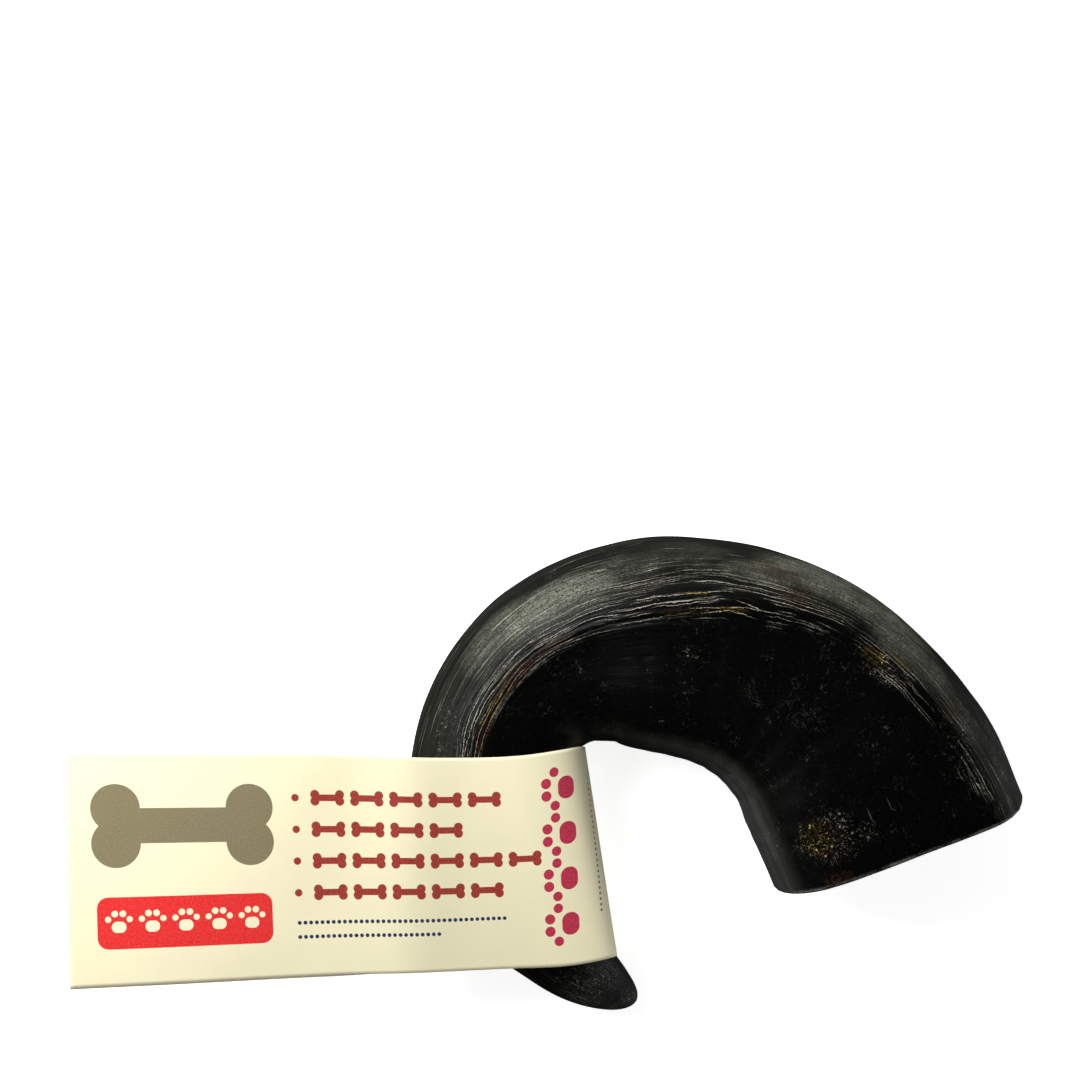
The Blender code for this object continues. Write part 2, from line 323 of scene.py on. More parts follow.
def noise(x, y, z, seed):
    """Smooth noise between 0 and 1 with features about one unit across."""
    ix, iy, iz = (np.floor(v).astype(np.int64) for v in (x, y, z))
    fx, fy, fz = (v - np.floor(v) for v in (x, y, z))
    fx, fy, fz = (f * f * (3 - 2 * f) for f in (fx, fy, fz))
    total = 0.0
    for dx in (0, 1):
        for dy in (0, 1):
            for dz in (0, 1):
                weight = (fx if dx else 1 - fx) * (fy if dy else 1 - fy) * (fz if dz else 1 - fz)
                total = total + weight * lattice(ix + dx, iy + dy, iz + dz, seed)
    return total


def smoothstep(value, low, high):
    t = np.clip((value - low) / (high - low), 0.0, 1.0)
    return t * t * (3 - 2 * t)


def between(value, fades):
    """1 inside a range. The four fades are where it starts and ends to rise, and starts and ends to fall."""
    return smoothstep(value, fades[0], fades[1]) * (1 - smoothstep(value, fades[2], fades[3]))


def creased(value):
    """Noise folded about its middle, so that it has sharp crests."""
    return 1.0 - np.abs(2.0 * value - 1.0)


def grid_normals(points):
    """Unit normals of a grid of rings that is closed round each ring."""
    round_way = np.roll(points, -1, axis=1) - np.roll(points, 1, axis=1)
    along_way = np.gradient(points, axis=0)
    normal = np.cross(round_way, along_way)
    return normal / np.maximum(np.linalg.norm(normal, axis=2, keepdims=True), 1e-9)


# The horn's relief, in mm

BAND_FADES = (-1.0, 6.0, 48.0, 62.0)        # the outer side of the bend, by the distance from the ridge
RIDGE_FADES = (-6.5, -1.5, 5.0, 13.0)
PAPER_FADES = (128.0, 134.0, 188.0, 194.0)  # where the paper goes round, by the distance from the base
FIBRE_RELIEF = ((0.30, 0.016, 0.16, 2), (0.75, 0.026, 0.10, 3), (1.5, 0.05, 0.06, 4))
BUNDLE_HEIGHT = 0.20
STEP_HEIGHT_RIDGE, STEP_HEIGHT_BAND = 0.10, 0.04
SWELL_SPACING, SWELL_HEIGHT = 9.0, 0.045
LUMP_HEIGHT, SMALL_LUMP_HEIGHT = 0.30, 0.10
GOUGE_DEPTH, PIT_DEPTH = 0.16, 0.22
FULL_RELIEF_WIDTH, LEAST_RELIEF = 30.0, 0.25  # the relief shrinks where the horn is narrower
PAPER_CLEARANCE = 0.03
CHIP_DEPTH = 0.30
SAW_SPACING, SAW_DEPTH = 1.9, 0.05
FACE_SINKS = 0.08


def horn_relief(points, along, around):
    """How far each point of the outer surface stands out, in mm, and how far it is rubbed pale."""
    turn = around / HORN_RADIUS
    cx, cy = HORN_RADIUS * np.cos(turn), HORN_RADIUS * np.sin(turn)
    x, y, z = points[..., 0], points[..., 1], points[..., 2]

    def grain(seed, length, scale, shift=0.0):
        """Noise stretched along the horn's fibres."""
        return noise(along * length, (cx + shift) * scale, cy * scale, seed)

    def lumps(seed, scale):
        return noise(x * scale, y * scale, z * scale, seed)

    band, ridge = between(around, BAND_FADES), between(around, RIDGE_FADES)

    # Long fibres that run from the base to the tip and wander a little
    wander = 3.0 * grain(1, 0.03, 0.10)
    fibres = 0.0
    for scale, length, height, seed in FIBRE_RELIEF:
        fibres = fibres + height * (grain(seed, length, scale, wander) - 0.5)
    relief = fibres * (0.35 + 0.4 * band + 0.9 * ridge)

    # Bundles of split fibres along the ridge, rubbed pale on their crests
    lines = 0.6 * creased(grain(5, 0.020, 0.55, wander)) + 0.4 * creased(grain(6, 0.040, 1.10, wander))
    broken = smoothstep(grain(7, 0.06, 0.25), 0.30, 0.62)
    crest = smoothstep(lines, 0.66, 0.86) * broken
    relief = relief + BUNDLE_HEIGHT * ridge * (crest - 0.35)
    worn = crest * ridge

    # Thin layers that end in small steps
    layers = 5.0 * grain(8, 0.024, 0.20, wander)
    step = layers - np.floor(layers)
    step_height = STEP_HEIGHT_RIDGE * ridge + STEP_HEIGHT_BAND * band
    relief = relief + step_height * (smoothstep(step, 0.0, 0.88) - smoothstep(step, 0.88, 1.0))

    # Low lumps, with faint growth swells that fade in and out
    swell = along + 14.0 * lumps(9, 0.035)
    fade = smoothstep(lumps(10, 0.03), 0.45, 0.75)
    relief = relief + SWELL_HEIGHT * fade * np.sin(swell * 2 * math.pi / SWELL_SPACING)
    relief = relief + LUMP_HEIGHT * (lumps(11, 0.085) - 0.5)
    relief = relief + SMALL_LUMP_HEIGHT * (lumps(12, 0.26) - 0.5)

    # Long gouges and small pits
    gouge = smoothstep(creased(grain(13, 0.022, 0.30, wander)), 0.955, 0.99)
    relief = relief - GOUGE_DEPTH * gouge * smoothstep(grain(14, 0.05, 0.2), 0.58, 0.72)
    pit = smoothstep(lumps(15, 0.75), 0.80, 0.95)
    relief = relief - PIT_DEPTH * pit * smoothstep(lumps(16, 0.10), 0.42, 0.62)
    return relief, worn


# The horn's mesh

def mesh_object(name, points, faces, materials, face_material, attributes):
    mesh = bpy.data.meshes.new(name)
    mesh.from_pydata((points * MM).tolist(), [], faces)
    for made in materials:
        mesh.materials.append(made)
    mesh.polygons.foreach_set("material_index", face_material)
    mesh.polygons.foreach_set("use_smooth", np.ones(len(mesh.polygons), bool))
    for key, values in attributes.items():
        layer = mesh.attributes.new(key, "FLOAT_VECTOR", "POINT")
        layer.data.foreach_set("vector", np.asarray(values, np.float32).ravel())
    mesh.update()
    made = bpy.data.objects.new(name, mesh)
    bpy.context.scene.collection.objects.link(made)
    return made


def outer_alongs(shape):
    """Distances from the base of the outer surface's rings, closer together on the round tip."""
    body = shape.length - TIP_CAP
    turns = math.pi / 2 * np.arange(1, TIP_RINGS + 1) / (TIP_RINGS + 0.6)
    return np.concatenate([np.linspace(SAWN_EDGE, body, BODY_RINGS + 1), body + TIP_CAP * np.sin(turns)])


def outer_rings(shape, alongs):
    """The outer surface with its relief, its normals, the relief, and how far each point is rubbed pale."""
    skin = np.array([shape.ring(a, outline_at(shape, a, HORN_PLACES)) for a in alongs])
    along = np.repeat(alongs[:, None], COLUMNS, axis=1)
    around = np.repeat(HORN_AROUND[None, :], len(alongs), axis=0)
    normals = grid_normals(skin)
    if (normals * (skin - skin.mean(axis=1, keepdims=True))).sum() < 0:
        normals = -normals
    relief, worn = horn_relief(skin, along, around)
    width = np.array([shape.frame(a)[3][0] for a in alongs])[:, None]
    relief = relief * np.clip(width / FULL_RELIEF_WIDTH, LEAST_RELIEF, 1.0)
    # Nothing stands proud where the paper goes round, or reaches below the floor
    relief = relief - between(along, PAPER_FADES) * (np.maximum(relief, 0.0) + PAPER_CLEARANCE)
    relief = np.minimum(relief, skin[..., 2] * 0.5 + 0.02)
    return skin + normals * relief[..., None], normals, relief, worn


def edge_rings(shape, normal, relief):
    """The worn edge of the sawn end, chipped here and there, and how far in each ring lies."""
    zero = HORN_AROUND * 0.0
    chip = CHIP_DEPTH * smoothstep(noise(HORN_AROUND * 0.22, zero, zero + 3.0, 12), 0.62, 0.85)
    rings, insets = [], []
    for i in range(1, EDGE_RINGS + 1):
        turn = math.pi / 2 * i / EDGE_RINGS
        along = SAWN_EDGE * (1 - math.sin(turn))
        inset = SAWN_EDGE * (1 - math.cos(turn))
        ring = shape.ring(along, outline_at(shape, along, HORN_PLACES), inset)
        out = (1 - i / EDGE_RINGS) * relief - chip * math.sin(turn)
        rings.append(ring + normal * out[:, None])
        insets.append(inset)
    return rings, insets


def face_rings(shape):
    """The sawn face with the saw's marks, and how far in each ring lies."""
    to_base = shape.frame(0.0)[2]
    face_normal = np.array([to_base[0], to_base[1], 0.0])
    rim = outline_at(shape, 0.0, HORN_PLACES)
    rings, insets = [], []
    for i in range(1, FACE_RINGS + 1):
        inset = SAWN_EDGE + (WALL - MOUTH_EDGE - SAWN_EDGE) * i / FACE_RINGS
        ring = shape.ring(0.0, rim, inset)
        x, y = ring[:, 0], ring[:, 1]
        across = x * 0.25 + ring[:, 2] * 0.97
        bend = 3 * noise(across * 0.3, x * 0.05, y * 0.05, 13)
        marks = SAW_DEPTH * np.sin(across * 2 * math.pi / SAW_SPACING + bend)
        marks = marks + 0.08 * (noise(across * 0.8, x * 0.08, y * 0.08, 14) - 0.5)
        rings.append(ring - face_normal * (FACE_SINKS - marks)[:, None])
        insets.append(inset)
    return rings, insets


def hollow_rings(shape):
    """The hollow, fluted along its length, and how far in each ring lies."""
    zero = HORN_AROUND * 0.0
    seam = np.cos(2 * math.pi * (HORN_AROUND - HORN_AROUND.min()) / HORN_PERIMETER) * 0.5 + 0.5
    off_seam = smoothstep(1 - seam, 0.0, 0.05)
    rings, alongs = [], []
    for i in range(HOLLOW_RINGS):
        share = (i + HOLLOW_START) / HOLLOW_RINGS
        along = MOUTH_EDGE + (HOLLOW_DEPTH - MOUTH_EDGE) * share
        taper = (1.0 - share**HOLLOW_TAPER[0]) ** HOLLOW_TAPER[1]
        flutes = 0.05 * (noise(HORN_AROUND * 0.14, zero + along * 0.03, zero, 15) - 0.5) \
            + 0.04 * (noise(HORN_AROUND * 0.5, zero + along * 0.12, zero, 16) - 0.5)
        outline = outline_at(shape, along, HORN_PLACES) * (1.0 + taper * flutes * off_seam)[:, None]
        size = (shape.frame(along)[3] - 2 * WALL) * taper
        rings.append(shape.ring(along, outline, size=size))
        alongs.append(along)
    return rings, alongs


def add_horn(outer, sawn, hollow):
    shape = HornShape()
    alongs = outer_alongs(shape)
    skin, normals, relief, worn = outer_rings(shape, alongs)
    edge, edge_insets = edge_rings(shape, normals[0], relief[0])
    face, face_insets = face_rings(shape)
    inner, inner_alongs = hollow_rings(shape)

    centre_line = np.zeros((1, 2))
    tip = shape.ring(shape.length, centre_line)
    end = shape.ring(HOLLOW_DEPTH, centre_line)
    grid = np.concatenate([skin[::-1], np.array(edge + face + inner)])
    points = np.concatenate([grid.reshape(-1, 3), tip, end])
    rows = len(grid)

    index = np.arange(rows * COLUMNS).reshape(rows, COLUMNS)
    beside = np.roll(index, -1, axis=1)
    faces = np.stack([index[:-1], index[1:], beside[1:], beside[:-1]], axis=-1).reshape(-1, 4).tolist()
    tip_pole, end_pole = rows * COLUMNS, rows * COLUMNS + 1
    faces += [(a, b, tip_pole) for a, b in zip(index[0].tolist(), beside[0].tolist())]
    faces += [(b, a, end_pole) for a, b in zip(index[-1].tolist(), beside[-1].tolist())]

    # Which material each row of faces has: 0 outside, 1 sawn, 2 hollow
    row_kind = np.zeros(rows - 1, int)
    row_kind[len(skin) + EDGE_RINGS - 3:] = 1
    row_kind[len(skin) + EDGE_RINGS + FACE_RINGS - 1:] = 2
    kinds = np.concatenate([np.repeat(row_kind, COLUMNS), np.zeros(COLUMNS, int), np.full(COLUMNS, 2)])

    # Where each point is: for the grain, along the horn and round a circle; as a place, also how far in
    def spread(row_values):
        return np.repeat(np.asarray(row_values, float)[:, None], COLUMNS, axis=1)

    turn = HORN_AROUND / HORN_RADIUS
    all_along = np.concatenate([alongs[::-1], np.zeros(EDGE_RINGS + FACE_RINGS), -np.array(inner_alongs)])
    circle = np.tile(HORN_RADIUS * np.stack([np.cos(turn), np.sin(turn)], axis=-1), (rows, 1, 1))
    grain = np.concatenate([spread(all_along)[..., None], circle], axis=-1).reshape(-1, 3)
    grain = np.concatenate([grain, [[shape.length, 0, 0]], [[-HOLLOW_DEPTH, 0, 0]]])
    depth = spread(edge_insets + face_insets + [WALL + along for along in inner_alongs])
    place = np.stack([spread(all_along), np.tile(HORN_AROUND, (rows, 1)),
                      np.concatenate([-worn[::-1], depth])], axis=-1).reshape(-1, 3)
    place = np.concatenate([place, [[shape.length, 0, 0]], [[-HOLLOW_DEPTH, 0, WALL]]])

    horn = mesh_object("horn_grown", points, faces, (outer, sawn, hollow), kinds,
                       {"grain": grain, "place": place})
    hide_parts("horn")
    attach(horn, "root")


# The paper strip's shape

BEND_EDGE = {
    "loop centre": (-12.6, 17.0),
    "loop half size": (23.5, 16.7),
    "squareness": 3.4,
    "seam": (-47.0, 40.2),
    "flag end": (-104.0, 59.0),
    "drift": ((-104.0, 4.8), (-47.0, 4.5), (-22.0, 3.8), (-3.0, 4.5), (10.0, 6.6)),
}
TIP_EDGE = {
    "loop centre": (-2.2, 11.9),
    "loop half size": (20.7, 11.6),
    "squareness": 6.0,
    "seam": (-47.5, 35.0),
    "flag end": (-101.8, 53.0),
    "drift": ((-101.8, -45.8), (-47.5, -45.4), (-10.0, -45.4), (8.0, -44.7), (18.0, -43.0)),
}
FRONT_LEAVES = math.radians(80)
BACK_LEAVES = math.radians(-172)
FRONT_REACH = 12.0
BACK_REACH = (13.0, 9.0)
ANGLE_STEP = 0.01

STRIP_WIDTH = 50.5         # the print is laid out on this width
SOLID_LAYER = 0.3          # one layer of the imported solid
LAYER = 0.13               # one layer of paper
LAYER_GAP = 0.05           # between the two layers of the flag
FLAG_COLUMNS, SWEEP_COLUMNS, WRAP_COLUMNS, RETURN_COLUMNS = 72, 48, 110, 34
STRIP_ROWS = 60
BACK_SHIFT = 0.6           # the flag's back layer lies this much nearer the tip
FLAG_WAVES = ((0.9, 0.035, 0.03, 21), (0.22, 0.11, 0.10, 22))  # height, scale in x and in y, seed
FLAG_ENDS = (-60.0, -44.0)  # the waves fade out over this range of x
SWELL_AT, SWELL_REACH, PAPER_SWELL = -30.0, 9.0, 1.3


def loop_point(edge, angle):
    (cx, cz), (a, b) = edge["loop centre"], edge["loop half size"]
    cos, sin = math.cos(angle), math.sin(angle)
    power = edge["squareness"]
    reach = (abs(cos)**power + abs(sin)**power) ** (-1 / power)
    return np.array([cx + a * reach * cos, cz + b * reach * sin])


def loop_direction(edge, angle):
    way = loop_point(edge, angle - ANGLE_STEP) - loop_point(edge, angle + ANGLE_STEP)
    return way / np.linalg.norm(way)


def sweep(start, start_way, end, end_way, reach, steps):
    control = (start, start + start_way * reach[0], end - end_way * reach[1], end)
    t = (np.arange(steps + 1) / steps)[:, None]
    return ((1 - t)**3 * control[0] + 3 * t * (1 - t)**2 * control[1]
            + 3 * t**2 * (1 - t) * control[2] + t**3 * control[3])


def strip_path(edge):
    """The middle of the paper's thickness along one long edge, from the front's end to the back's end."""
    seam, end = np.array(edge["seam"]), np.array(edge["flag end"])
    along_flag = (seam - end) / np.linalg.norm(seam - end)
    side = np.array([-along_flag[1], along_flag[0]])
    front_start, back_start = loop_point(edge, FRONT_LEAVES), loop_point(edge, BACK_LEAVES)
    front_way, back_way = loop_direction(edge, FRONT_LEAVES), loop_direction(edge, BACK_LEAVES)
    reach = (FRONT_REACH, FRONT_REACH)
    front = sweep(seam, along_flag, front_start, front_way, reach, SWEEP_COLUMNS)
    angles = np.linspace(FRONT_LEAVES, BACK_LEAVES, WRAP_COLUMNS + 1)
    wrap = np.array([loop_point(edge, angle) for angle in angles[1:-1]])
    back = sweep(back_start, back_way, seam, -along_flag, BACK_REACH, RETURN_COLUMNS)
    inner = np.concatenate([front, wrap, back])
    way = np.gradient(inner, axis=0)
    way[0], way[-1] = along_flag, -along_flag
    way /= np.linalg.norm(way, axis=1)[:, None]
    left = np.column_stack([-way[:, 1], way[:, 0]])

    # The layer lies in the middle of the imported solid's thickness
    loop = inner + left * SOLID_LAYER / 2
    shares = (1 - np.arange(FLAG_COLUMNS) / FLAG_COLUMNS)[:, None]
    lift = LAYER / 2 + LAYER_GAP / 2
    lift = lift + (SOLID_LAYER / 2 - lift) * (1 - shares)**6
    flag_front = seam + (end - seam) * shares + side * lift
    flag_back = (seam + (end - seam) * shares - side * lift)[::-1]
    path = np.concatenate([flag_front, loop, flag_back])
    normal = np.concatenate([np.tile(side, (FLAG_COLUMNS, 1)), left, np.tile(-side, (FLAG_COLUMNS, 1))])
    xs, ys = zip(*edge["drift"])
    y = np.array([smooth_through(xs, ys, min(max(x, xs[0]), xs[-1])) for x in path[:, 0]])
    run = np.concatenate([[0.0], np.cumsum(np.linalg.norm(np.diff(path, axis=0), axis=1))])
    points = np.column_stack([path[:, 0], y, path[:, 1]])
    return points, np.column_stack([normal[:, 0], 0 * y, normal[:, 1]]), run


def quads(a, b, c, d):
    return np.stack([a, b, c, d], axis=-1).reshape(-1, 4)


def add_strip(paper):
    (bend, bend_normal, bend_run), (tip, tip_normal, tip_run) = strip_path(BEND_EDGE), strip_path(TIP_EDGE)
    shares = np.linspace(0, 1, STRIP_ROWS + 1)[:, None, None]
    middle = bend + (tip - bend) * shares
    normal = bend_normal + (tip_normal - bend_normal) * shares
    normal /= np.linalg.norm(normal, axis=2, keepdims=True)
    middle[..., :2] -= PLAN_CENTRE
    count = middle.shape[1]
    columns = np.arange(count)
    run = bend_run + (tip_run - bend_run) * shares[..., 0]

    # Soft waves of the free flag, shared by both layers
    x, y = middle[..., 0], middle[..., 1]
    wave = 0.0
    for height, scale_x, scale_y, seed in FLAG_WAVES:
        wave = wave + height * (noise(x * scale_x, y * scale_y, 0 * run, seed) - 0.5)
    middle[..., 2] += wave * (1 - smoothstep(x, *FLAG_ENDS))
    # The front swells and then drops to the horn
    swell = np.exp(-((x + PLAN_CENTRE[0] - SWELL_AT) / SWELL_REACH) ** 2)
    middle[..., 2] += np.where(columns < FLAG_COLUMNS + SWEEP_COLUMNS, PAPER_SWELL * swell, 0.0)
    # The back layer is a little askew
    back = smoothstep(columns + 0.0, count - FLAG_COLUMNS - RETURN_COLUMNS, count - FLAG_COLUMNS)
    middle[..., 1] -= BACK_SHIFT * back * np.linspace(1.0, 0.4, count)

    rows = STRIP_ROWS + 1
    outer, inner = middle + normal * LAYER / 2, middle - normal * LAYER / 2
    points = np.concatenate([outer.reshape(-1, 3), inner.reshape(-1, 3)])
    top = np.arange(rows * count).reshape(rows, count)
    low = top + rows * count
    faces = np.concatenate([
        quads(top[1:, :-1], top[1:, 1:], top[:-1, 1:], top[:-1, :-1]),
        quads(low[:-1, :-1], low[:-1, 1:], low[1:, 1:], low[1:, :-1]),
        quads(top[0, :-1], top[0, 1:], low[0, 1:], low[0, :-1]),
        quads(top[-1, 1:], top[-1, :-1], low[-1, :-1], low[-1, 1:]),
        quads(top[1:, 0], top[:-1, 0], low[:-1, 0], low[1:, 0]),
        quads(top[:-1, -1], top[1:, -1], low[1:, -1], low[:-1, -1]),
    ])
    # Only the strip's outer side is printed
    kinds = np.ones(len(faces), int)
    kinds[:(rows - 1) * (count - 1)] = 0
    across = np.repeat(shares[..., 0] * STRIP_WIDTH, count, axis=1)
    flat = np.stack([run, across, np.ones_like(run)], axis=-1).reshape(-1, 3)
    flat = np.concatenate([flat, flat * (1, 1, 0)])
    strip = mesh_object("paper_strip", points, faces.tolist(), paper, kinds, {"flat": flat})
    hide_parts("label")
    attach(strip, "root")


# The horn's materials

# Patches of the surface: distance from the base, distance from the ridge, reach each way, and strength
GOLD_PATCHES = (
    (124.0, -1.2, 7.5, 2.2, 1.0), (117.0, 0.8, 6.0, 1.8, 0.6), (78.0, -0.9, 9.0, 1.0, 1.0),
    (74.0, 3.2, 4.0, 0.9, 1.0), (67.0, -0.3, 5.0, 1.0, 0.9), (38.0, 1.0, 3.0, 2.6, 1.0),
    (33.5, 4.9, 2.6, 2.6, 1.0), (35.5, 24.0, 3.2, 6.0, 0.9), (11.0, -22.4, 6.0, 3.4, 1.0),
    (61.0, 15.0, 6.0, 2.5, 0.6),
)
BROWN_PATCHES = (
    (116.0, -1.5, 7.0, 2.6, 1.0), (106.0, -1.0, 6.0, 2.2, 0.8), (131.0, -2.0, 6.0, 2.6, 0.9),
    (59.0, 13.5, 7.0, 4.0, 0.9), (55.0, 6.0, 3.5, 5.0, 0.7), (22.5, 6.4, 3.0, 3.0, 0.9),
    (9.0, -20.5, 6.0, 4.0, 0.25), (1.5, -21.5, 1.2, 3.0, 0.8),
)
SPECK_PATCHES = (
    (10.0, -21.0, 8.0, 9.0, 1.0), (35.0, 1.0, 6.0, 5.0, 0.9), (26.0, -9.0, 6.0, 4.0, 0.45),
    (44.0, -14.0, 7.0, 3.0, 0.3), (16.0, 2.0, 8.0, 5.0, 0.6), (134.0, 8.0, 10.0, 8.0, 0.7),
    (204.0, 0.0, 18.0, 40.0, 0.9), (71.0, -8.0, 7.0, 6.0, 0.35), (12.0, -34.0, 6.0, 5.0, 0.5),
    (14.0, 13.0, 15.0, 9.0, 0.5), (46.0, 17.0, 16.0, 10.0, 0.4),
)
# Painted highlight: pale patches on the outer side where the softbox is reflected, broken up so that they
# look rubbed
HIGHLIGHT_PATCHES = (
    (102.0, 9.5, 15.0, 8.5, 1.0), (112.0, 13.0, 12.0, 8.0, 0.45), (88.0, 13.0, 10.0, 6.0, 0.20),
)
FIBRE_PATCHES = (
    (114.0, 1.0, 52.0, 6.0, 1.0), (74.0, 4.5, 40.0, 9.0, 0.75), (92.0, 8.0, 44.0, 13.0, 0.45),
    (30.0, 3.0, 18.0, 6.0, 0.60), (44.0, 14.0, 24.0, 11.0, 0.42), (12.0, 6.0, 18.0, 9.0, 0.45),
    (203.0, 0.0, 14.0, 42.0, 0.40),
)
# Dull patches of the outer side; the last one, over the round tip, is a faint painted highlight
DULL_AND_TIP_SHEEN_PATCHES = (
    (47.0, 19.0, 18.0, 11.0, 1.0), (62.0, 12.0, 9.0, 5.5, 0.45), (76.0, 18.0, 10.0, 6.0, 0.15),
    (33.0, 9.0, 11.0, 8.0, 0.58), (20.0, 6.0, 8.0, 5.0, 0.25), (206.0, 0.0, 9.0, 70.0, 0.10),
)

# Colours of the outside; a pair is mixed by noise
BLACKS = ((0.0006, 0.0006, 0.0006), (0.0018, 0.0018, 0.0016))
# The outer side's greys are partly the horn's own duller grey and partly painted light where that side faces
# the softbox
BAND_GREYS = ((0.0022, 0.0024, 0.0016), (0.0120, 0.0128, 0.0090))
STREAK_GREY = (0.024, 0.026, 0.019)
# The first grey is for the dull patches and a faint painted highlight over the round tip; the second is a
# painted highlight
DULL_AND_TIP_SHEEN_GREY, HIGHLIGHT_GREY = (0.190, 0.200, 0.155), (0.200, 0.208, 0.165)
# The first grey is a painted sheen on the hollow side of the bend; the second is the sawn rim's wear
INNER_SHEEN_GREY, RIM_GREY = (0.045, 0.045, 0.044), (0.18, 0.18, 0.15)
BROWN, GOLD = (0.070, 0.028, 0.014), (0.22, 0.125, 0.035)
PALE_FIBRE, GOLD_FIBRE, BROWN_FIBRE = (0.80, 0.77, 0.62), (0.90, 0.74, 0.28), (0.48, 0.27, 0.14)
SCRATCH_GREY = (0.12, 0.12, 0.11)
PALE_FLECK, GOLD_FLECK = (0.26, 0.26, 0.22), (0.75, 0.64, 0.18)
SCRATCH_TURNS = ((0.35, 3.0), (1.1, 9.0), (-0.7, 17.0), (2.2, 31.0))  # direction in radians, and seed
HORN_SHINE = 0.08


def patches(g, along, around, listed):
    """The patch's strength in the middle of each listed patch, fading to 0 at its edge."""
    total = 0.0
    for centre, beside, reach, reach_beside, strength in listed:
        a = g.math("DIVIDE", g.math("SUBTRACT", along, centre), reach)
        b = g.math("DIVIDE", g.math("SUBTRACT", around, beside), reach_beside)
        mask = g.ramp(g.add(g.times(a, a), g.times(b, b)), 0.15, 1.0, strength, 0.0)
        total = g.math("MAXIMUM", total, mask)
    return total


def threads(g, along, around, spacing, thin, gap, seed):
    """Thin fibres side by side along the horn, each broken into dashes of its own."""
    lane = g.math("DIVIDE", around, spacing)
    which = g.math("FLOOR", lane)
    dice = g.node("ShaderNodeTexWhiteNoise", {"W": g.add(which, seed)}, noise_dimensions="1D")
    first, second, third = g.split(dice.outputs["Color"])
    beside = g.math("ABSOLUTE", g.add(lane, g.times(which, -1.0), -0.2, g.times(first, -0.6)))
    width = g.add(thin * 0.5, g.times(second, thin))
    line = g.math("SUBTRACT", 1.3, g.math("DIVIDE", g.times(beside, spacing), width), True)
    run = g.node("ShaderNodeCombineXYZ", {0: g.add(g.times(along, 0.055), g.times(third, 40.0)),
                                          1: g.times(which, 3.7)}).outputs[0]
    dash = g.ramp(g.noise(run, 2.0, 0.6), gap, gap + 0.07)
    return g.times(line, dash, g.add(0.60, g.times(second, 0.40)))


def split_fibres(g, grain, along, around, fibrous, patchy, grit, band):
    """Fibres split off the surface, some straight with the grain and some that cross it."""
    wave = g.times(g.add(g.noise(g.scaled(grain, (0.040, 0.09, 0.09)), 1.0), -0.5), 7.0)
    ripple = g.times(g.add(g.noise(g.scaled(grain, (0.24, 0.40, 0.40)), 4.0, 0.72), -0.5), 1.1)
    straight = g.add(around, wave, ripple)
    slanted = g.add(around, g.times(along, 0.055), g.times(ripple, 1.6))
    fibres = g.times(threads(g, along, straight, 0.55, 0.036, 0.50, 3.0), 0.85)
    fibres = g.math("MAXIMUM", fibres, threads(g, along, straight, 1.5, 0.060, 0.48, 77.0))
    fibres = g.math("MAXIMUM", fibres, threads(g, along, slanted, 1.7, 0.048, 0.52, 31.0))
    fibres = g.times(fibres, g.ramp(g.add(fibrous, g.times(g.add(patchy, -0.5), 1.3)), 0.15, 0.80),
                     g.ramp(grit, 0.40, 0.53, 0.20, 1.0))
    # A few stray ones on the outer side, fewer down its flank
    stray = threads(g, along, straight, 2.0, 0.060, 0.54, 151.0)
    return g.math("MAXIMUM", fibres, g.times(stray, band, g.ramp(around, 13.0, 26.0, 0.6, 0.25)))


def scratches(g, point, specked):
    """Scratches that cross the fibres, in groups."""
    marks = 0.0
    for turn, seed in SCRATCH_TURNS:
        turned = g.scaled(g.scaled(point, (1.0,) * 3, turn=turn), (0.26, 2.2, 2.2), (seed,) * 3)
        marks = g.math("MAXIMUM", marks, g.ramp(g.noise(turned, 2.0, 0.6, 0.8), 0.68, 0.76))
    groups = g.ramp(g.noise(g.scaled(point, (0.09,) * 3, (4.0, 1.0, 6.0)), 2.0), 0.50, 0.62)
    return g.times(marks, g.math("MAXIMUM", groups, specked))


def chips(g, point, specked, patchy, grit):
    """Chips and flecks in groups."""
    fleck = g.ramp(grit, 0.60, 0.67)
    thick = g.ramp(g.add(patchy, g.times(specked, 0.20)), 0.54, 0.72, 0.10, 1.0)
    cells = g.node("ShaderNodeTexVoronoi", {"Vector": g.scaled(point, (0.62,) * 3), "Scale": 1.0})
    chosen = g.ramp(g.add(g.split(cells.outputs["Color"])[0], g.times(specked, 0.25)), 0.86, 0.88)
    dots = g.times(g.ramp(cells.outputs["Distance"], 0.06, 0.20, 1.0, 0.0), chosen)
    return g.times(g.math("MAXIMUM", fleck, dots), thick, g.add(0.30, g.times(specked, 0.70)))


